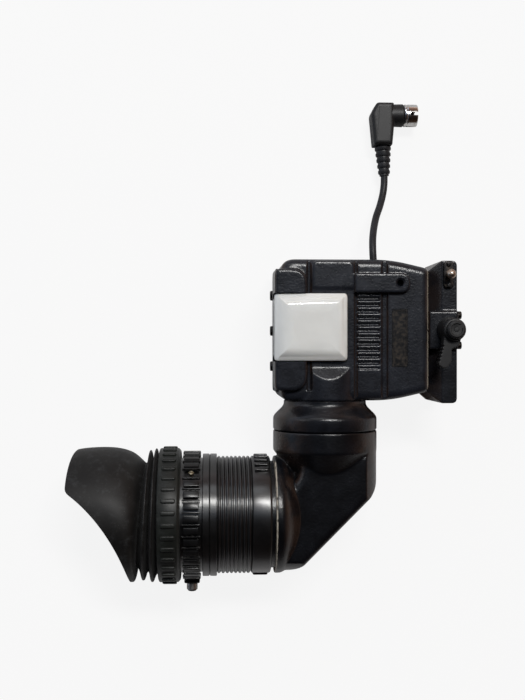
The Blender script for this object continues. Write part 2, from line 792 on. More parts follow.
def plug():
    left = LEG_X - LEG_HALF
    right = LEG_X + LEG_HALF
    corners = [
        (left + 1.8, LEG_LOW, 0.6), (right - 0.9, LEG_LOW, 0.9), (right, BARREL_Y - 8.6, 2.0), (right, LEG_HIGH, 1.0),
        (left + 3.6, LEG_HIGH, 2.4), (left, BARREL_Y, 5.2),
    ]
    leg = drawn("plug_leg", corners, rim(PLUG_Z - 6.8, 2.3, 4, -1) + rim(PLUG_Z + 6.8, 2.3, 4))
    barrel = lathe("plug_barrel", [
        (LEG_X, 0.0), (LEG_X, 6.4), (right + 5.6, 6.8), (right + 6.0, 6.6), (right + 6.2, 6.2), (right + 6.2, 0.0),
    ], "X", 64, (0, BARREL_Y, PLUG_Z))
    made = melt(gather("plug", leg, barrel), 0.28, 3, 0.35)
    seam = [(left + 3.3, LEG_LOW + 5.5), (left + 3.75, LEG_LOW + 5.5), (left + 5.1, LEG_HIGH - 3.0),
            (left + 4.65, LEG_HIGH - 3.0)]
    return cut(made, slab("plug_seam", seam, PLUG_Z + 6.35, PLUG_Z + 8.0))


place(plug(), PLUG_PLASTIC, "base", "plug_body")
SHELL_START = LEG_X + LEG_HALF + 6.2 + GAP
shell = lathe("shell", [
    (0.0, 6.0), (0.0, 6.35), (0.5, SHELL_RADIUS), (1.2, SHELL_RADIUS), (1.5, 6.4), (1.8, 6.4), (2.1, SHELL_RADIUS),
    (7.4, SHELL_RADIUS), (7.8, 6.5), (8.0, 6.3), (7.8, 6.05), (7.4, 6.0),
], "X", 80, (SHELL_START, BARREL_Y, PLUG_Z))
place(cut(shell, block("shell_key", (SHELL_START + 3.4, BARREL_Y - 1.0, PLUG_Z + 5.4),
                       (SHELL_START + 9, BARREL_Y + 1.0, PLUG_Z + 8))), CHROME, "base", "plug_shell")
print("plug: leg", round(LEG_HIGH - LEG_LOW, 1), "mm, shell", 2 * SHELL_RADIUS, "mm across")

# %% [markdown]
# ## Eyecup
#
# The cup is thin rubber: a sleeve under its clamping ring, two thin bellows folds that let it tip with the head, and
# a lopsided bell whose wing shades the eye from the side. No primitive has that shape, so a grid is wrapped round the
# axis. Each of its rows is a station along the cup, with its own radius and its own lean towards the wing. Solidify
# then gives the rubber its thickness, outside in, and the rim is rolled.

# %% Eyecup's stations
CUP_START = 94.2
CUP_STEPS = 120
WING_ANGLE = radians(62.0)
WING_REACH = 142.8
LIP_REACH = 109.6
WING_LEAN = 0.087
RIM_CURVE = 3.1
CUP_RUBBER = 1.25
FOLD_STATIONS = (
    (-12.6, 33.0, 0.0), (0.0, 33.0, 0.0), (0.35, 32.6, 0.0), (1.0, 33.4, 0.25), (1.55, 35.6, 0.45), (1.85, 36.9, 0.5),
    (2.2, 37.35, 0.55), (2.65, 37.4, 0.6), (3.05, 37.2, 0.65), (3.3, 36.4, 0.7), (3.6, 34.2, 0.75), (4.0, 32.3, 0.8),
    (4.5, 31.6, 0.9), (5.1, 32.4, 1.0), (5.6, 34.6, 1.05), (5.95, 35.9, 1.1), (6.3, 36.4, 1.15), (6.8, 36.5, 1.2),
    (7.2, 36.3, 1.25), (7.5, 35.4, 1.3), (7.9, 33.2, 1.4), (8.5, 30.9, 1.5), (9.2, 29.5, 1.55), (10.0, 29.2, 1.6),
)
SWELL_STATIONS = (
    (0.04, 0.16), (0.09, 0.36), (0.15, 0.58), (0.22, 0.74), (0.32, 0.88), (0.42, 0.955), (0.5, 0.985), (0.6, 1.0),
    (0.68, 0.995), (0.76, 0.98), (0.85, 0.955), (0.92, 0.92), (0.97, 0.885), (1.0, 0.86),
)
CUP_ROWS = len(FOLD_STATIONS) + len(SWELL_STATIONS)


def wing_rim(turn):
    """How far the rim reaches and how wide it is, at an angle from the wing's middle."""
    side = abs(turn)
    span = WING_REACH - LIP_REACH
    if side <= WING_ANGLE:
        reach = WING_REACH - span * WING_LEAN * (1 - sin(pi / 2 * side / WING_ANGLE))
    else:
        share = (side - WING_ANGLE) / (pi - WING_ANGLE)
        reach = WING_REACH - span * (1 - (1 - share) ** RIM_CURVE)
    return reach, 37.2 + 1.2 * (1 + cos(turn)) / 2


def cup_place(row, turn):
    """Reach and radius of a row of the cup at an angle from the wing's middle."""
    if row < len(FOLD_STATIONS):
        along, radius, fan = FOLD_STATIONS[row]
        return CUP_START + along - 1.5 * fan * cos(turn), radius
    neck_reach, neck_radius = cup_place(len(FOLD_STATIONS) - 1, turn)
    rim_reach, rim_radius = wing_rim(turn)
    share, swell = SWELL_STATIONS[row - len(FOLD_STATIONS)]
    top = max(cos(turn), 0.0)
    full = 1 - (1 - swell) * top if share > 0.6 else swell + (1 - swell) * (1 - top) * 0.35
    return neck_reach + (rim_reach - neck_reach) * share, neck_radius + (rim_radius - neck_radius) * full


print("cup rows:", CUP_ROWS)

# %% Eyecup
def eyecup():
    only()
    bpy.ops.mesh.primitive_grid_add(x_subdivisions=CUP_STEPS, y_subdivisions=CUP_ROWS - 1, size=2)
    made = bpy.context.object
    made.name = "cup"
    for corner in made.data.vertices:
        column = round((corner.co.x + 1) / 2 * CUP_STEPS)
        row = round((corner.co.y + 1) / 2 * (CUP_ROWS - 1))
        turn = 2 * pi * column / CUP_STEPS
        turn = turn if turn <= pi else turn - 2 * pi
        reach, radius = cup_place(row, turn)
        corner.co = (-reach, radius * cos(turn), radius * sin(turn))
    edit(made)
    close_up()
    applied(made, "SOLIDIFY", thickness=CUP_RUBBER, offset=-1.0, use_even_offset=False)
    break_edges(made, 0.5, 3, 60.0)
    return applied(made, "SUBSURF", levels=1, render_levels=1)


place(eyecup(), RUBBER, "cup", "eyecup", angle=50.0)

# %% [markdown]
# ## Clamping ring of the cup
#
# The ring is firm rubber with thirty-six oblong bumps to grip. One bump is drawn, rounded, and copied round the axis.
# The rim nearest the focus ring is bevelled and catches a thin line of light.

# %% Clamping ring
RING_NEAR = -81.9
RING_FAR = -93.9
RING_BASE = 37.5
RING_BUMPS = 36


def clamping_ring():
    section = [
        (RING_NEAR, 33.4), (RING_NEAR, 36.1), (RING_NEAR - 0.2, 36.4), (RING_NEAR - 1.0, 37.3),
        (RING_NEAR - 1.4, RING_BASE), (RING_FAR + 0.9, RING_BASE), (RING_FAR + 0.25, 37.2), (RING_FAR, 36.6),
        (RING_FAR, 33.4),
    ]
    made = lathe("cup_ring", section, "X", 180)
    middle = (RING_NEAR + RING_FAR) / 2
    bump = drawn("bump", rectangle(middle - 3.9, middle + 3.9, -1.25, 1.25, 1.15),
                 [(RING_BASE - 0.5, 0.0), *rim(RING_BASE + 1.1, 0.6, 3)], bend=4)
    return gather("cup_ring", made, copies(moved(bump, spun(-pi / 2)), turns(RING_BUMPS)))


place(clamping_ring(), RING_RUBBER, "cup", "eyecup_ring")

# %% [markdown]
# ## Focus ring
#
# The focus ring is plastic with thirty-four flat pads; between them run narrow ridges, each between two grooves. At
# the bottom a flat block carries a thumbscrew, and one pad makes room for a brass screw that marks the index.

# %% Focus ring
FOCUS_NEAR = -69.9
FOCUS_FAR = -81.3
FOCUS_BASE = 34.9
FOCUS_TOP = 35.9
THUMB_X = (FOCUS_NEAR + FOCUS_FAR) / 2
PADS = 34


def focus_ring():
    section = [
        (FOCUS_NEAR, 32.3), (FOCUS_NEAR, 35.2), (FOCUS_NEAR - 0.3, 35.6), (FOCUS_NEAR - 0.9, 35.6),
        (FOCUS_NEAR - 1.2, FOCUS_BASE), (FOCUS_FAR + 1.2, FOCUS_BASE), (FOCUS_FAR + 0.9, 35.7),
        (FOCUS_FAR + 0.3, 35.7), (FOCUS_FAR, 35.3), (FOCUS_FAR, 32.3),
    ]
    made = lathe("focus_grip", section, "X", 204)
    pitch = 2 * pi * FOCUS_TOP / PADS
    pad = drawn("pad", rectangle(FOCUS_FAR + 1.5, FOCUS_NEAR - 1.5, -pitch * 0.27, pitch * 0.27, 0.5),
                [(FOCUS_BASE - 0.6, 0.0), *rim(FOCUS_TOP - 0.05, 0.35, 2)], bend=3)
    ridge = slab("ridge", [(a, b) for a, b, _ in rectangle(FOCUS_FAR + 0.8, FOCUS_NEAR - 0.8, -0.35, 0.35)],
                 FOCUS_BASE - 0.6, FOCUS_TOP)
    round_edges(ridge, 0.2, 2, lambda middle: middle.z > FOCUS_TOP - 0.1)
    return made, moved(pad, spun(-pi / 2)), moved(ridge, spun(-pi / 2))


print("focus ring: pitch", round(2 * pi * FOCUS_TOP / PADS, 2), "mm")

# %% Focus ring, block and screws
def pad_turns(skip):
    """One turn for each pad, leaving out the places given in degrees from +Y towards +Z."""
    found = []
    for i in range(PADS):
        degrees_here = 360.0 * i / PADS
        if all(abs((degrees_here - gone + 180) % 360 - 180) > 4.0 for gone in skip):
            found.append(spun(radians(degrees_here)))
    return found


INDEX_PLACE = shift(THUMB_X, 0, 0) @ spun(radians(42.4))
BLOCK_LOW = -38.4
BLOCK_ANGLE = 180.0
grip, pad, ridge = focus_ring()
pads = copies(pad, pad_turns([BLOCK_ANGLE]))
beside_block = [BLOCK_ANGLE + sign * 360 / PADS * 0.5 for sign in (-1, 1)]
ridges = copies(ridge, [move @ spun(pi / PADS) for move in pad_turns(beside_block)])
thumb_block = block("thumb_block", (THUMB_X - 4.4, BLOCK_LOW, -4.4), (THUMB_X + 4.4, -33.6, 4.4))
break_edges(thumb_block, 0.8, 3)
cut(thumb_block, bar("thumb_bore", 1.6, BLOCK_LOW - 2, -31.0, "Y", (THUMB_X, 0, 0)))
grip = gather("focus_grip", grip, pads, ridges, thumb_block)
index_seat = moved(bar("index_seat", 2.1, 34.2, 37.5, "Y"), INDEX_PLACE)
place(cut(grip, index_seat), MOULDED, "focus", "focus_ring", angle=30.0)

# %% [markdown]
# A slotted screw is turned, and its slot is cut with a thin block. The thumbscrew's knurl is a barrel whose corners
# are pulled in and out by turns, row by row, which leaves the diamonds that two crossed cuts of a knurling wheel make.

# %% Screws with a slot or a cross
def slotted(name, head, height, shank, length, slot):
    """A cheese-head screw along +Z whose head stands on zero."""
    made = lathe(name, [
        (height, 0.0), (height, head * 0.62), (height * 0.93, head * 0.82), (height * 0.72, head * 0.96),
        (height * 0.5, head), (0.0, head), (0.0, shank), (-length, shank), (-length, 0.0),
    ], "Z", 48)
    return cut(made, block(name + "_slot", (-head * 1.2, -slot / 2, height * 0.45), (head * 1.2, slot / 2, height * 2)))


def crossed(name, head, height, shank, length, arm):
    """A countersunk screw along +Z with a cross recess."""
    made = lathe(name, [
        (height, 0.0), (height, head * 0.55), (height * 0.9, head * 0.85), (height * 0.7, head), (0.0, head),
        (0.0, shank), (-length, shank), (-length, 0.0),
    ], "Z", 48)
    for turn in (0.0, pi / 2):
        groove = block(name + "_arm", (-head * 0.55, -arm / 2, height * 0.35), (head * 0.55, arm / 2, height * 2))
        cut(made, moved(groove, spun(turn, "Z")))
    return made


index_screw = slotted("index_pin", 1.45, 1.5, 0.8, 1.9, 0.45)
place(moved(index_screw, INDEX_PLACE @ shift(0, 34.8, 0) @ spun(-pi / 2)), BRASS, "focus", "index_screw")

# %% Thumbscrew
KNURL_ROWS = 11
KNURL_STEPS = 56
KNURL_RADIUS = 3.0
KNURL_DEPTH = 0.12


def thumbscrew():
    """The knurled head under the block, and its rounded black end."""
    top = BLOCK_LOW - GAP
    start = top - 0.3
    low = -42.4
    pitch = (start - low) / (KNURL_ROWS - 1)
    rows = [(start - (start - low) * i / (KNURL_ROWS - 1), KNURL_RADIUS) for i in range(KNURL_ROWS)]
    section = [(top, 0.0), (top, 2.7), *rows, (low - 0.15, 2.6), (low - 0.15, 0.0)]
    made = lathe("knurled_head", section, "Y", KNURL_STEPS)
    for corner in made.data.vertices:
        reach = sqrt(corner.co.x ** 2 + corner.co.z ** 2)
        if abs(reach - KNURL_RADIUS) < 0.01:
            row = round((start - corner.co.y) / pitch)
            step = round(atan2(corner.co.z, corner.co.x) / (2 * pi) * KNURL_STEPS)
            grown = KNURL_RADIUS + KNURL_DEPTH * (1 if (row + step) % 2 else -1)
            corner.co.x *= grown / reach
            corner.co.z *= grown / reach
    stem = bar("thumb_stem", 1.3, top - 1.0, -32.6, "Y")
    end = lathe("thumb_end", [(low, 0.0), (low, 2.5), (low - 0.5, 2.5), (low - 0.85, 2.2), (low - 1.05, 1.6),
                              (low - 1.1, 0.0)], "Y", 48)
    return gather("thumb_knob", made, stem), end


head, end = (moved(piece, shift(THUMB_X, 0, 0)) for piece in thumbscrew())
place(head, STEEL, "thumb", "thumbscrew", angle=20.0)
place(end, MOULDED, "thumb")

# %% [markdown]
# ## Barrel and locking ring
#
# The barrel is one turned tube. Its grip is eight round ridges with narrow valleys, so its section is a row of arcs;
# then come a plain band with a fine groove and the seats of the two rings. The locking ring has a tab at the bottom
# and five grip bars near the top, one modelled and copied.

# %% Barrel
RIDGES = 8
RIDGES_START = -42.8
RIDGE_PITCH = 18.8 / RIDGES
RIDGE_BACK = ((0.08, 32.0), (0.2, 32.55), (0.36, 32.85), (0.5, 32.9), (0.64, 32.85), (0.8, 32.55), (0.92, 32.0))


def barrel():
    section = [(-29.4, 27.1), (-33.3, 27.1), (-33.3, 29.2), (RIDGES_START, 29.2), (RIDGES_START, 32.0)]
    for i in range(RIDGES):
        section += [(RIDGES_START - RIDGE_PITCH * i - RIDGE_PITCH * share, radius) for share, radius in RIDGE_BACK]
    section += [
        (-61.6, 32.0), (-61.6, 33.9), (-61.9, 34.3), (-65.2, 34.3), (-65.35, 33.9), (-65.6, 33.75), (-65.85, 33.9),
        (-66.0, 34.3), (-69.2, 34.3), (-69.55, 34.0), (-69.6, 32.0), (-81.6, 32.0), (-81.6, 30.8), (-92.3, 30.8),
        (-92.6, 30.5), (-92.6, 29.2), (-92.3, 28.9), (-45.0, 28.9), (RIDGES_START, 24.6), (-29.4, 24.6),
    ]
    return lathe("barrel", section, "X", 160)


place(barrel(), GLOSS, "elbow", "eyepiece_barrel", angle=40.0)

# %% Locking ring
def locking_ring():
    made = lathe("lock_ring", [
        (-31.6, 31.9), (-31.9, 32.5), (-32.4, 32.85), (-33.0, 32.9), (-41.3, 32.9), (-41.9, 32.8), (-42.3, 32.4),
        (-42.5, 31.8), (-42.5, 29.5), (-33.3, 29.5), (-33.3, 30.3), (-31.6, 30.3),
    ], "X", 160)
    bars = drawn("grip_bar", rectangle(-40.9, -33.2, -1.15, 1.15, 0.8), [(32.2, 0.0), *rim(34.4, 0.5, 3)], bend=3)
    tab = drawn("lock_tab", rectangle(-41.3, -32.8, -2.5, 2.5, 1.2), [(32.2, 0.0), *rim(34.4, 0.6, 3)], bend=4)
    moves = [spun(radians(19.0 + 8.0 * i)) @ spun(-pi / 2) for i in range(-2, 3)]
    return gather("lock_ring", made, copies(bars, moves), moved(tab, spun(pi) @ spun(-pi / 2)))


place(locking_ring(), GLOSS, "bayonet", "bayonet_ring")

# %% [markdown]
# ## Lens cell
#
# Inside the barrel a black cell slides along with the two lenses. Seen from the cup, the front lens fills the bore, so
# it gets a smooth curve, and its retaining ring the two slots that a lens spanner turns.

# %% Lens cell
GLASS_RADIUS = 24.6


def lens(name, middle, edge, curve):
    """A glass with two equal bulging faces, from its thickness at the edge and the radius of its curves."""
    full = curve - sqrt(curve ** 2 - GLASS_RADIUS ** 2)
    face = []
    for i in range(13):
        reach = GLASS_RADIUS * i / 12
        face.append((edge / 2 + full - (curve - sqrt(curve ** 2 - reach ** 2)), reach))
    section = [(middle + along, reach) for along, reach in face]
    section += [(middle - along, reach) for along, reach in reversed(face)]
    return lathe(name, section, "X", 96)


def near_and_far(node):
    low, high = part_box(node)
    return tuple((value - CROSSING.x) * 1000 for value in (low.x, high.x))


for node, name, edge, curve in (("front_lens", "front_glass", 3.0, 95.0), ("rear_lens", "rear_glass", 2.6, 110.0)):
    low, high = near_and_far(node)
    place(lens(name, (low + high) / 2, edge, curve), CLEAR, "cell", node)
low, high = near_and_far("front_retainer")
retainer = lathe("lens_retainer", [
    (low, 23.5), (low, 24.4), (low + 0.2, GLASS_RADIUS), (high, GLASS_RADIUS), (high, 23.2), (low + 0.6, 23.2),
], "X", 120)
for middle in (-24.0, 24.0):
    cut(retainer, block("spanner_slot", (low - 1, middle - 2.0, -0.6), (low + 0.9, middle + 2.0, 0.6)))
place(retainer, BLACK_STEEL, "cell", "front_retainer")
low, high = near_and_far("lens_cell")
rib_low, rib_high = ((low + high) / 2 + reach for reach in (-4.2, 4.2))
cell = lathe("cell_tube", [
    (high, 28.6), (low + 0.3, 28.6), (low, 28.3), (low, 25.2), (low + 0.3, 24.9), (rib_low, 24.9), (rib_low, 23.2),
    (rib_high, 23.2), (rib_high, 24.9), (high, 24.9),
], "X", 120)
place(cell, BLACK_STEEL, "cell", "lens_cell")

# %% [markdown]
# ## Mirror elbow
#
# The elbow turns the light by a mirror. It is one casting: an upright column and a sideways dome run together over a
# flat-sided case, whose slanted wall backs the mirror. Castings have a soft fillet wherever forms meet. So the forms
# are modelled as plain overlapping shells, melted together on a fine grid and smoothed, and then hollowed.

# %% Elbow's forms
ELBOW_FRONT = 20.5
COLLAR_RADIUS = 29.5
DOME_RADIUS = 33.0
FLANGE_FACE = -29.4
SPLIT_Y = 48.1
CASE_SIDE = 29.3
ELBOW_TOP = SPLIT_Y - GAP
ELBOW_WALL = 2.2
CASE_TOP = 36.6
DIAGONAL = 9.3 * sqrt(2)
CASE_CORNERS = [
    (-29.0, -30.6, 0.0), (DIAGONAL - 30.6, -30.6, 26.0), (29.6, 29.6 - DIAGONAL, 17.0), (29.6, CASE_TOP, 0.0),
    (-15.5, CASE_TOP, 0.0), *[(a, b, 0.0) for a, b in arc((-28.6, 28.6), 13.1, 0, -90, 8)],
]


def column(thick):
    """The upright part, round at the collar and cut to the flat sides below, or the room inside it."""
    top = ELBOW_TOP - 2.4 if thick else ELBOW_TOP
    outer = COLLAR_RADIUS - thick
    flat = ELBOW_FRONT - thick
    return lathe("column", [
        (top, 0.0), (top, outer), (CASE_TOP + thick / 2, outer), (24.6, flat), (19.8, flat), (19.8, 0.0),
    ], "Y", 96)


def dome(thick):
    """The round shoulder behind the eyepiece flange, or the room inside it."""
    outer = DOME_RADIUS - thick
    flat = ELBOW_FRONT - thick
    end = FLANGE_FACE + thick
    section = [(-10.8, 0.0), (-10.8, flat)]
    for i in range(13):
        share = i / 12
        section.append((max(end, -15.6 - thick - 11.4 * share), flat + (outer - flat) * sin(pi / 2 * share)))
    return lathe("dome", section + [(end, outer), (end, 0.0)], "X", 96)


def case(thick):
    """The flat-sided case with its slanted wall, trimmed round towards the dome."""
    half = ELBOW_FRONT - thick
    corner = 4.2 - thick
    made = drawn("case", inset(CASE_CORNERS, thick), rim(-half, corner, 5, -1) + rim(half, corner))
    trim = lathe("case_trim", [(0.0, 31.6 - thick), (0.0, 60.0), (-40.0, 60.0), (-40.0, 31.6 - thick)], "X", 96)
    cut(trim, block("trim_end", (-45.0, 0.0, -61.0), (5.0, 61.0, 61.0)))
    side_trim = cut(block("side_trim", (0.0, -60.0, -60.0), (60.0, 60.0, 60.0)),
                    bar("side_core", CASE_SIDE - thick, -62.0, 62.0, "Y", steps=96))
    return cut(made, trim, side_trim)


print("elbow: column", COLLAR_RADIUS, "mm, dome", DOME_RADIUS, "mm")

# %% Elbow
def elbow():
    made = melt(gather("elbow", case(0.0), column(0.0), dome(0.0)), 0.45, 16, 0.36)
    flange = lathe("flange", [(FLANGE_FACE + 4.0, 0.0), (FLANGE_FACE + 4.0, 29.0), (FLANGE_FACE + 0.5, 30.0),
                              (FLANGE_FACE - 3.3, 30.0), (FLANGE_FACE - 3.6, 29.7), (FLANGE_FACE - 3.6, 0.0)], "X", 120)
    applied(made, "BOOLEAN", operation="UNION", object=flange, solver="EXACT")
    drop(flange)
    lip = bar("lip_bore", 24.7, CASE_TOP, ELBOW_TOP + 2, "Y", steps=96)
    bore = bar("flange_bore", 27.4, FLANGE_FACE - 6, FLANGE_FACE + 4.4, "X", steps=96)
    return cut(made, case(ELBOW_WALL), column(ELBOW_WALL), dome(ELBOW_WALL), lip, bore)


place(elbow(), ELBOW_PAINT, "elbow", "mirror_elbow", angle=38.0)

# %% [markdown]
# ## Swivel neck
#
# The neck is round all over, so it is turned: a waist, a flare that swells to the collar in one smooth wave, and the
# hub on which the elbow turns. A hairline groove marks the joint between neck and elbow.

# %% Neck
NECK_RADIUS = 23.4
BODY_BOTTOM = 65.2


def neck():
    flare = []
    for i in range(15):
        share = i / 14
        flare.append((63.4 - 9.0 * share, NECK_RADIUS + (COLLAR_RADIUS - NECK_RADIUS) * (1 - cos(pi * share)) / 2))
    section = [
        (69.8, 20.9), (64.9, 20.9), (64.9, NECK_RADIUS - 0.4), (64.5, NECK_RADIUS), *flare, (49.1, COLLAR_RADIUS),
        (48.5, COLLAR_RADIUS - 0.25), (SPLIT_Y, COLLAR_RADIUS - 0.8), (SPLIT_Y, 24.4), (39.5, 24.4), (39.5, 23.4),
        (48.0, 23.4), (50.2, 19.9), (69.8, 19.9),
    ]
    return lathe("neck", section, "Y", 144)


place(neck(), CASTING, "base", "swivel_neck", angle=40.0)

# %% [markdown]
# ## Front of the housing
#
# The front shell is the most worked piece: a tray with rounded edges, a raised band for the tally lens, a bulge that
# runs into the neck with a flat facet, two grooves, eleven grip ribs, a bar with a hole for an accessory, and a bare
# recess where a nameplate would go. The broad forms are melted together; what a milling cutter made comes after.

# %% Housing's outline
BODY_LEFT = 26.5
BODY_RIGHT = 56.5
BODY_TOP = 143.8
BODY_FRONT = 20.0
BODY_SPLIT = -8.0
BODY_BACK = -38.6
WALL = 2.2
BODY_MIDDLE = (BODY_BOTTOM + BODY_TOP) / 2
BAND_HALF = 33.5
BODY_CORNERS = [
    (-BODY_LEFT, BODY_BOTTOM, 5.6), (35.0, BODY_BOTTOM, 80.0), (BODY_RIGHT, BODY_BOTTOM + 5.0, 4.0),
    (BODY_RIGHT, BODY_TOP - 5.0, 4.0), (35.0, BODY_TOP, 80.0), (-BODY_LEFT, BODY_TOP, 8.0),
]
BACK_SCREWS = [(-18.5, 135.8), (48.5, 130.8), (48.5, 78.2), (35.0, 73.2)]
LENS_LEFT = -30.0
LENS_RIGHT = 10.0
LENS_LOW = BODY_MIDDLE + 1.4 - 18.6
LENS_HIGH = BODY_MIDDLE + 1.4 + 18.6
print("housing:", BODY_RIGHT + BODY_LEFT, "by", round(BODY_TOP - BODY_BOTTOM, 1), "mm")

# %% Front shell's forms
GROOVE_DEPTH = 1.8
FLANK = 0.7


def groove(name, middle, width, low):
    """A cutter for a groove with sloping flanks, from low along Y and out at the top."""
    left = middle - width / 2
    right = middle + width / 2
    section = [
        (BODY_FRONT - GROOVE_DEPTH, left + FLANK), (BODY_FRONT - GROOVE_DEPTH, right - FLANK), (BODY_FRONT, right),
        (BODY_FRONT + 9.0, right + FLANK), (BODY_FRONT + 9.0, left - FLANK), (BODY_FRONT, left),
    ]
    return slab(name, section, low, BODY_TOP + 2, "Y")


def front_forms():
    tray = drawn("tray", BODY_CORNERS, [(BODY_SPLIT, 0.0), *rim(BODY_FRONT, 4.5, 6)])
    low = BODY_MIDDLE - BAND_HALF
    high = BODY_MIDDLE + BAND_HALF
    band_corners = [(-30.0, low, 3.4), (-12.2, low, 13.6), (-12.2, high, 13.6), (-30.0, high, 3.4)]
    band = drawn("band", band_corners, [(3.0, 0.0), *rim(24.5, 1.6, 4)])
    bulge = bar("bulge", NECK_RADIUS, BODY_BOTTOM, 83.7, "Y", steps=144)
    cut(bulge, block("bulge_back", (-30, 60, -30), (30, 90, 17.8)))
    facet = [(90.0, 20.0), (90.0, 30.0), (72.7, 30.0), (72.7, 25.6), (83.7, 20.0)]
    cut(bulge, slab("bulge_facet", facet[::-1], -30, 30, "X"))
    pad = drawn("lens_pad", [(-9.0, 127.0, 1.0), (14.0, 127.0, 1.0), (14.0, 142.6, 3.0), (-9.0, 142.6, 3.0)],
                [(15.0, 0.0), *rim(20.45, 0.9, 3)])
    return melt(gather("front_shell", tray, band, bulge, pad), 0.5, 5, 0.9)


print("front shell: forms are ready")

# %% Front shell
BAR_MIDDLE = 130.3
BAR_HALF = 5.3
HOLE = (39.5, BAR_MIDDLE, 0)
RIB_MIDDLE = 103.9
RIB_PITCH = 3.55
RIBS = 11
WAVE_STEPS = 10


def rib_comb():
    """A cutter with a wavy underside, which leaves the round-backed ribs."""
    waves = RIBS + 1
    low = RIB_MIDDLE - waves / 2 * RIB_PITCH
    outline = []
    for i in range(waves * WAVE_STEPS + 1):
        wave = i / WAVE_STEPS
        outline.append((low + wave * RIB_PITCH, BODY_FRONT - 0.55 + 0.85 * cos(2 * pi * (wave - 0.5))))
    outline += [(low + waves * RIB_PITCH, BODY_FRONT + 4.0), (low, BODY_FRONT + 4.0)]
    return slab("rib_comb", outline, 15.3, 28.6, "X")


def shell_bores():
    """Cutters for the neck's and the gland's seats, which both shells share."""
    return (bar("neck_hole", 21.2, 60.0, 70.1, "Y", steps=96),
            bar("gland_hole", 3.5, 140.0, 146.0, "Y", (GLAND_X, 0, GLAND_Z)))


def front_shell():
    made = front_forms()
    cut(made, groove("valley", -10.75, 2.9, BODY_MIDDLE - BAND_HALF), groove("groove_a", 15.3, 2.0, BODY_BOTTOM - 2),
        groove("groove_b", 31.3, 3.9, BODY_BOTTOM - 2), rib_comb())
    low = BAR_MIDDLE - BAR_HALF
    high = BAR_MIDDLE + BAR_HALF
    corners = [(14.3, low, 0.6), (44.8, low, BAR_HALF), (44.8, high, BAR_HALF), (14.3, high, 0.6)]
    accessory = drawn("accessory_bar", corners, [(17.5, 0.0), *rim(23.6, 0.9, 3)])
    melt(gather("front_shell", made, accessory, bar("hole_boss", 4.0, 12.0, 19.0, "Z", HOLE)), 0.36, 3, 0.30)
    hollow = drawn("front_hollow", inset(BODY_CORNERS, WALL), [(BODY_SPLIT - 2, 0.0), *rim(BODY_FRONT - WALL, 2.3, 3)])
    cut(hollow, bar("boss_room", 4.05, 11.8, BODY_FRONT - 1.0, "Z", HOLE))
    hole = lathe("accessory_hole", [
        (26.0, 0.0), (26.0, 3.6), (23.65, 2.95), (22.6, 1.85), (14.6, 1.85), (14.6, 0.0),
    ], "Z", 64, HOLE)
    recess = slab("nameplate_recess", rounded(rectangle(35.2, 44.2, 83.85, 116.15, 0.5), 3), 19.4, 24.0)
    low = LENS_LOW - GAP
    high = LENS_HIGH + GAP
    pocket = block("lens_pocket", (-34.0, low, 15.3), (LENS_RIGHT + GAP, high, 30.0))
    side_pocket = block("side_pocket", (-34.0, low, 7.7), (-28.1, high, 16.0))
    return cut(made, hollow, hole, recess, pocket, side_pocket, *shell_bores())


def plate_rim():
    """The thin raised line round the bare nameplate."""
    made = slab("plate_rim", rounded(rectangle(35.5, 43.9, 84.15, 115.85, 0.9), 4), 19.3, 19.95)
    return cut(made, slab("plate_inner", rounded(rectangle(36.2, 43.2, 84.85, 115.15, 0.6), 4), 19.42, 20.5))


place(front_shell(), FRONT_PAINT, "base", "housing_front", angle=38.0)
place(plate_rim(), BLACK_STEEL, "base")

# %% [markdown]
# ## Back of the housing
#
# The back shell is a plain tray. Four cross-head screws sit in deep wells in the face that the object lies on.

# %% Back shell and screws
KNOBS = (("brightness", 83.9), ("contrast", 104.5), ("peaking", 125.1))
KNOB_Z = -14.0


def back_shell():
    made = drawn("back_shell", BODY_CORNERS, rim(BODY_BACK, 3.0, 5, -1) + rim(BODY_SPLIT - GAP, 0.3, 2))
    hollow = slab("back_hollow", rounded(inset(BODY_CORNERS, WALL), 5), BODY_BACK + WALL, BODY_SPLIT + 2)
    wells = []
    for x, y in BACK_SCREWS:
        cut(hollow, bar("post", 4.7, BODY_BACK + 1, BODY_SPLIT + 4, "Z", (x, y, 0)))
        wells.append(bar("well", 2.9, BODY_BACK - 2, BODY_BACK + 4.3, "Z", (x, y, 0)))
        wells.append(bar("shank_hole", 1.7, BODY_BACK, BODY_SPLIT + 2, "Z", (x, y, 0)))
    return cut(made, hollow, *wells, *shell_bores(),
               *[bar("shaft_hole", 1.8, -30.0, -22.0, "X", (0, y, KNOB_Z)) for _, y in KNOBS])


place(back_shell(), CASTING, "base", "housing_rear", angle=38.0)
for number, (x, y) in enumerate(BACK_SCREWS, 1):
    screw = crossed(f"back_screw_{number}", 2.6, 1.8, 1.4, 30.6, 0.75)
    place(moved(screw, shift(x, y, BODY_BACK + 4.0) @ spun(pi)), STEEL, "base", f"housing_screw_{number}")

# %% [markdown]
# ## Tally lens
#
# The lens is a moulded cap that wraps round the edge of the band. Its top is a pillow: a long soft slope to the left
# and shorter ones on the other sides, which meet in soft creases. One height rule gives all four.

# %% Tally lens
LENS_TOP = 27.4
LENS_DEEPEST = 6.1
LENS_CURVE = 1.9
LENS_RIM = 24.0
LENS_WALL = 1.6


def lens_height(x, y):
    """The pillow of the lens: a long soft slope towards the left, shorter ones on the other three sides."""
    drop_squared = 0.0
    for away, width, fall in (
        (x - LENS_LEFT, 11.0, 5.8), (LENS_RIGHT - x, 5.6, 3.0), (y - LENS_LOW, 6.4, 3.6), (LENS_HIGH - y, 6.0, 3.3),
    ):
        drop_squared += (fall * max(0.0, 1 - away / width) ** LENS_CURVE) ** 2
    return LENS_TOP - min(LENS_DEEPEST, sqrt(drop_squared))


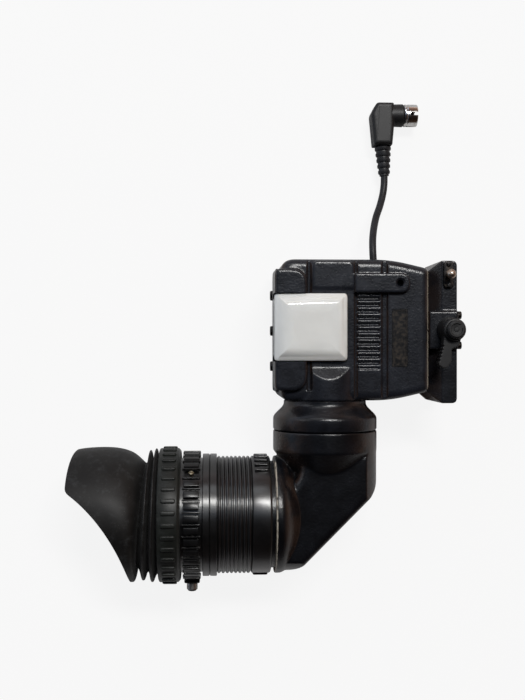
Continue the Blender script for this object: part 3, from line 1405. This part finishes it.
def tally_lens():
    outline = rectangle(LENS_LEFT, LENS_RIGHT, LENS_LOW, LENS_HIGH, 2.2)
    stations = [(15.6, 0.3), (15.7, 0.09), (15.9, 0.0), (21.0, 0.0), (23.0, 0.05), (LENS_RIM, 0.3)]
    stations += [(LENS_RIM + 0.01 * i, 0.3 + 0.42 * i) for i in range(1, 30)]
    made = drawn("tally_cap", outline, stations)
    for corner in made.data.vertices:
        if corner.co.z >= 22.9:
            corner.co.z = lens_height(corner.co.x, corner.co.y) - 0.35 * (corner.co.z < 23.5)
    cut(made, drawn("tally_hollow", inset(outline, LENS_WALL), [(13.0, 0.0), (21.4, 0.0), (23.2, 2.0)]))
    skirt = block("tally_skirt", (LENS_LEFT + 0.01, LENS_LOW + 2.5, 8.0),
                  (LENS_LEFT + LENS_WALL, LENS_HIGH - 2.5, 17.2))
    return gather("tally_cap", made, break_edges(skirt, 0.3, 2))


place(tally_lens(), MILKY, "base", "tally_lens", angle=25.0)

# %% [markdown]
# ## Control panel and knobs
#
# A long cover on the left edge carries three picture knobs, each in a round well, with a ridge at each end that guards
# them. The knobs are turned, with fine flutes and a slot for a screwdriver.

# %% Panel and knobs
PANEL_HALF = 35.5
FLUTES = 20


def control_panel():
    low = BODY_MIDDLE - PANEL_HALF
    high = BODY_MIDDLE + PANEL_HALF
    made = drawn("side_panel", rectangle(low, high, -34.4, 1.6, 5.0), [*rim(-28.0, 0.7, 4, -1), (-26.8, 0.0)], "X")
    for start in (low + 2.5, high - 8.5):
        outline = rounded([
            (start, -27.1, 0.0), (start + 0.5, -29.1, 1.2), (start + 5.5, -29.1, 1.2), (start + 6.0, -27.1, 0.0),
        ], 5)
        ridge = slab("panel_ridge", [(b, a) for a, b in outline][::-1], -29.4, -3.4)
        gather("side_panel", made, break_edges(ridge, 0.5, 2, 50.0))
    for _, y in KNOBS:
        cut(made, bar("knob_well", 3.5, -35.0, -25.0, "X", (0, y, KNOB_Z), 64))
    return made


def knob(name, y):
    made = lathe(name, [
        (-17.5, 0.0), (-17.5, 1.5), (-27.1, 1.5), (-27.1, 2.7), (-27.4, 2.85), (-29.9, 2.85), (-30.3, 2.7),
        (-30.5, 2.4), (-30.5, 2.0), (-30.4, 1.9), (-30.4, 0.0),
    ], "X", 72, (0, y, KNOB_Z))
    flute = bar("flute", 0.2, -31.6, -27.8, "X", (0, y + 2.97, KNOB_Z), 10)
    centre = shift(0, y, KNOB_Z)
    slot = block(name + "_slot", (-32.0, y - 2.0, KNOB_Z - 0.45), (-29.5, y + 2.0, KNOB_Z + 0.45))
    return cut(made, copies(flute, [centre @ turn @ centre.inverted() for turn in turns(FLUTES)]), slot)


place(control_panel(), MOULDED, "base", "control_panel", angle=30.0)
for label, y in KNOBS:
    place(knob(label + "_control", y), MOULDED, label, label + "_knob", angle=25.0)

# %% [markdown]
# ## Rail foot
#
# The foot slides on a rail of the camera. A plate with a dovetail channel stands on a web that slopes back to the
# housing, and a block on its front carries the clamp. It is a casting too, so its forms are melted together, but the
# channel is machined and stays crisp.

# %% Foot
FOOT_START = 56.8
PLATE_START = 64.9
FOOT_FACE = 73.4
FOOT_LOW = 63.35
FOOT_HIGH = 143.65
FOOT_MIDDLE = 103.5
FOOT_BACK = -31.0
FOOT_FRONT = 13.0
WEB_HALF = 40.15 * 0.84
LEVER = (68.3, 104.5, 0)
STOP = (68.3, 135.6, 0)
STOP_SCREWS = (("lower", 129.6, 0.5), ("upper", 141.6, 1.2))
SIDE_SCREWS = (("lower", 96.0), ("upper", 113.0))
SIDE_SCREW_Z = 10.4


def rail_foot():
    corners = [
        (FOOT_START, FOOT_MIDDLE - WEB_HALF, 0.0), (PLATE_START, FOOT_LOW, 0.0), (FOOT_FACE, FOOT_LOW, 3.0),
        (FOOT_FACE, FOOT_HIGH, 3.0), (PLATE_START, FOOT_HIGH, 0.0), (FOOT_START, FOOT_MIDDLE + WEB_HALF, 0.0),
    ]
    made = slab("foot", rounded(corners, 5), FOOT_BACK, FOOT_FRONT)
    for label, outer, inner, sign in (("front", FOOT_FRONT, 8.0, 1), ("back", FOOT_BACK, -26.0, -1)):
        slope = [(outer + sign * 2, FOOT_START - 2), (outer + sign * 2, PLATE_START), (outer, PLATE_START),
                 (inner, FOOT_START), (inner, FOOT_START - 2)]
        cut(made, slab(f"slope_{label}", slope if sign < 0 else slope[::-1], FOOT_LOW - 2, FOOT_HIGH + 2, "Y"))
    clamp_block = block("clamp_block", (FOOT_START, 93.8, 6.0), (FOOT_FACE, 115.2, 16.6))
    round_edges(clamp_block, 1.1, 3, lambda middle: middle.z > 16.5)
    melt(gather("foot", made, clamp_block), 0.4, 3, 0.4)
    channel = [(-26.5, 68.0), (3.5, 68.0), (0.5, FOOT_FACE), (0.5, 76.0), (-23.5, 76.0), (-23.5, FOOT_FACE)]
    cut(made, slab("channel", channel[::-1], FOOT_LOW - 2, FOOT_HIGH + 2, "Y"),
        block("gib_pocket", (67.7, 94.2, -1.5), (76.0, 114.8, 8.0)),
        bar("stud_hole", 2.8, 0.0, 19.0, "Z", LEVER), bar("stop_hole", 1.5, -2.0, 15.0, "Z", STOP),
        bar("stop_well", 2.3, 7.3, 15.0, "Z", STOP))
    for (_, stop_y, _), (_, side_y) in zip(STOP_SCREWS, SIDE_SCREWS):
        cut(made, bar("stop_screw_hole", 1.1, 7.7, 15.0, "Z", (STOP[0], stop_y, 0)),
            bar("side_screw_hole", 1.1, 69.1, 76.0, "X", (0, side_y, SIDE_SCREW_Z)))
    return made


place(rail_foot(), CASTING, "base", "rail_foot", angle=38.0)

# %% [markdown]
# ## Clamp lever and its cap
#
# The lever is a satin moulding: a hub, an arm and a paddle with teeth for the thumb. The cap over its screw has a
# raised rim with a gap in it.

# %% Lever
TEETH = 5
TOOTH = (0.52, 1.92)


def clamp_lever():
    top = 29.9
    hub = lathe("lever_hub", [
        (16.9, 0.0), (16.9, 6.9), (17.3, 7.2), (18.6, 7.2), (23.4, 6.3), (29.0, 6.2), (29.6, 5.9), (top, 5.4),
        (top, 0.0),
    ], "Z", 72)
    outline = [(-5.0, 0.0, 0.0), (-6.1, -8.2, 0.5)]
    for i in range(TEETH):
        outline += [(-6.1 - TOOTH[0] * (i + 0.5) + 0.75, -8.2 - TOOTH[1] * (i + 0.5), 0.25),
                    (-6.1 - TOOTH[0] * (i + 1), -8.2 - TOOTH[1] * (i + 1), 0.25)]
    outline += [(-8.2, -19.6, 0.8), (-5.4, -21.3, 1.4), (-3.6, -20.6, 1.4), (-1.5, -17.6, 2.0), (-1.5, -10.8, 1.2),
                (2.4, -9.0, 1.6), (5.0, -1.4, 1.0), (5.0, 0.0, 0.0)]
    arm = slab("lever_arm", rounded(outline, 4), top - 8.7, top - 2.2)
    made = melt(gather("lever", hub, arm), 0.24, 3, 0.4)
    return moved(cut(made, bar("lever_bore", 2.8, 14.0, 32.0, "Z")), shift(*LEVER))


def lever_cap():
    made = lathe("cap", [
        (30.2, 0.0), (30.2, 5.1), (32.4, 5.1), (33.0, 4.9), (33.4, 4.4), (33.6, 4.0), (33.6, 3.4), (33.4, 3.1),
        (33.0, 3.0), (32.9, 1.4), (33.2, 1.2), (33.3, 0.0),
    ], "Z", 72)
    cut(made, block("cap_gap", (1.5, -1.1, 32.9), (6.0, 1.1, 34.0)))
    return moved(made, shift(*LEVER) @ spun(radians(35.0), "Z"))


place(clamp_lever(), PLUG_PLASTIC, "lever", "clamp_lever", angle=40.0)
place(lever_cap(), PLUG_PLASTIC, "lever", "lever_cap", angle=25.0)

# %% [markdown]
# ## Stop pin, its plate and the small screws
#
# A sprung pin with a ball head keeps the foot from sliding off its rail. Its plate is held by two slotted screws, and
# two hexagon-socket screws sit in the edge of the plate.

# %% Stop pin and plate
BALL_MIDDLE = 20.4
BALL_RADIUS = 2.75
ball = [(BALL_MIDDLE + BALL_RADIUS * cos(pi * i / 16), BALL_RADIUS * sin(pi * i / 16)) for i in range(14)]
stop_pin = lathe("ball_pin", [
    *ball, (17.9, 1.2), (8.8, 1.2), (8.8, 2.0), (7.6, 2.0), (7.6, 1.2), (2.1, 1.2), (1.8, 0.9), (1.8, 0.0),
], "Z", 64, STOP)
place(stop_pin, NICKEL, "pin", "stop_pin")
cover = drawn("pin_plate", rectangle(STOP[0] - 2.8, STOP[0] + 2.8, STOP[1] - 7.6, STOP[1] + 7.6, 2.3),
              [(13.3, 0.0), *rim(14.7, 0.35, 3)])
cut(cover, bar("plate_bore", 1.5, 10.0, 18.0, "Z", STOP),
    *[bar("plate_screw_bore", 1.1, 10.0, 18.0, "Z", (STOP[0], y, 0)) for _, y, _ in STOP_SCREWS])
place(cover, BLACK_STEEL, "base", "stop_pin_plate")
for label, y, turn in STOP_SCREWS:
    screw = slotted(f"plate_screw_{label}", 1.3, 1.0, 0.8, 5.0, 0.35)
    place(moved(screw, shift(STOP[0], y, 15.0) @ spun(turn, "Z")), BLACK_STEEL, "base", f"stop_screw_{label}")

# %% Side screws
for label, y in SIDE_SCREWS:
    screw = lathe(f"socket_screw_{label}", [
        (2.6, 0.0), (2.6, 1.8), (2.5, 2.05), (2.25, 2.2), (0.0, 2.2), (0.0, 0.8), (-4.0, 0.8), (-4.0, 0.0),
    ], "X", 48)
    cut(screw, slab("socket", [(1.1 * cos(pi / 3 * n), 1.1 * sin(pi / 3 * n)) for n in range(6)], 1.1, 4.0, "X"))
    place(moved(screw, shift(FOOT_FACE + GAP, y, SIDE_SCREW_Z)), BLACK_STEEL, "base", f"side_screw_{label}")

# %% [markdown]
# ## Pieces kept from the frame
#
# What sits inside keeps its solids and gets its finish. Each node of the frame has a material slot, which takes the
# finish of what it is made of.

# %% Inner pieces
INNER = {
    "mirror": MIRROR, "mirror_holder": BLACK_STEEL, "rear_retainer": BLACK_STEEL, "keeper_ring": BLACK_STEEL,
    "friction_washer": MOULDED, "picture_tube": TUBE, "tube_clamp": RUBBER, "deflection_yoke": COPPER,
    "tube_socket": BOARD, "main_board": BOARD, "control_board": BOARD, "tally_lamp_board": BOARD,
    "high_voltage_transformer": MOULDED, "clamp_gib": BLACK_STEEL, "lever_stud": STEEL, "stop_spring": STEEL,
    "plug_insert": MOULDED,
}
for name, finish in INNER.items():
    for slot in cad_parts[name].material_slots:
        slot.material = finish
print("inner pieces:", len(INNER))

# %% [markdown]
# ## Floor, background and light
#
# A product picture has a seamless white ground. The floor's own colour is pale grey; for the camera, also through
# glass, it glows as well, so it reads as white and still keeps the object's soft shadow. The sky is light at the
# horizon and dark overhead, cool on the left, warm on the right and dimmer on the near side, which keeps dark paint
# dark and draws soft lines on its slopes. A pale window high on the far side gives flat faces a bluish sheen. One long
# lamp far off throws the narrow highlights; two weak ones lift the far and the left side.

# %% Floor
only()
bpy.ops.mesh.primitive_plane_add(size=6.0, location=(0, 0, -0.0003))
floor = bpy.context.object
floor.name = "floor"
floor_page = Page("pale_floor", (0.60, 0.60, 0.60), 0.9)
direct, through = (floor_page.node("ShaderNodeLightPath", {}, {}, kind)
                   for kind in ("Is Camera Ray", "Is Transmission Ray"))
glow = floor_page.node("ShaderNodeEmission", {}, {"Color": (1, 1, 1, 1), "Strength": 1.0})
diffuse = Wire(floor_page, floor_page.shader.outputs[0])
glow_share = direct.maths("MAXIMUM", direct, through) * 0.88
blend = floor_page.node("ShaderNodeMixShader", {}, {0: glow_share, 1: diffuse, 2: glow})
floor_page.feed(floor_page.tree.nodes["Material Output"].inputs["Surface"], blend)
floor.data.materials.append(floor_page.material)
print("floor:", tuple(round(value, 2) for value in floor.dimensions))

# %% Sky
SKY = ((0.0, (0.80, 0.80, 0.80)), (0.22, (0.34, 0.31, 0.29)), (0.55, (0.14, 0.10, 0.08)), (0.86, (0.045, 0.045, 0.05)),
       (1.0, (0.03, 0.03, 0.035)))
world = bpy.data.worlds.new("studio")
bpy.context.scene.world = world
world.use_nodes = True
sky = Nodes(world.node_tree)
direction = sky.node("ShaderNodeTexCoord", {}, {}, "Generated")
to_right, to_far, upward = (sky.node("ShaderNodeSeparateXYZ", {}, {0: direction}, axis) for axis in "XYZ")
heights = sky.node("ShaderNodeValToRGB", {}, {0: upward})
stops = heights.socket.node.color_ramp.elements
while len(stops) < len(SKY):
    stops.new(1.0)
for stop, (height, colour) in zip(stops, SKY):
    stop.position = height
    stop.color = (*colour, 1.0)
dimming = sky.node("ShaderNodeMapRange", {}, {
    "Value": to_far, "From Min": -0.6, "From Max": 0.35, "To Min": 0.08, "To Max": 0.75,
})
warmth = sky.node("ShaderNodeMapRange", {}, {"Value": to_right, "From Min": -0.7, "From Max": 0.3})
shade = sky.vectors("SCALE", sky.mix(warmth, (1.6, 2.0, 2.6), (1.4, 0.95, 0.74)), dimming)
window_share = sky.between(to_far, -0.04, 0.30) * sky.between(upward, 0.80, 0.93)
window = sky.vectors("SCALE", (0.42, 0.50, 0.62), window_share)
glow = sky.vectors("ADD", sky.vectors("MULTIPLY", heights, shade), window)
seen = sky.mix(sky.node("ShaderNodeLightPath", {}, {}, "Is Camera Ray"), glow, (1, 1, 1))
sky.feed(sky.tree.nodes["Background"].inputs["Color"], seen)
print("sky stops:", len(SKY))


# %% Lamps
def lamp(name, spot, aim, size, watts, colour):
    data = bpy.data.lights.new(name, "AREA")
    data.shape = "RECTANGLE"
    data.size = size[0]
    data.size_y = size[1]
    data.energy = watts
    data.color = colour
    made = linked(name, data)
    made.location = spot
    made.rotation_euler = (Vector(aim) - Vector(spot)).to_track_quat("-Z", "Y").to_euler()


COOL = (0.90, 0.95, 1.0)
lamp("key_lamp", (0.50, 1.58, 2.85), (0.0, 0.0, 0.04), (1.40, 0.38), 78.0, (1.0, 0.99, 0.97))
lamp("far_lamp", (-0.25, 1.05, 0.80), (0.0, 0.05, 0.04), (0.8, 0.3), 1.6, COOL)
lamp("fill_lamp", (-1.0, 0.45, 0.75), (0.0, 0.0, 0.04), (0.5, 0.5), 1.2, COOL)
bpy.context.scene.view_settings.view_transform = "Standard"
print("lamps:", len(bpy.data.lights))
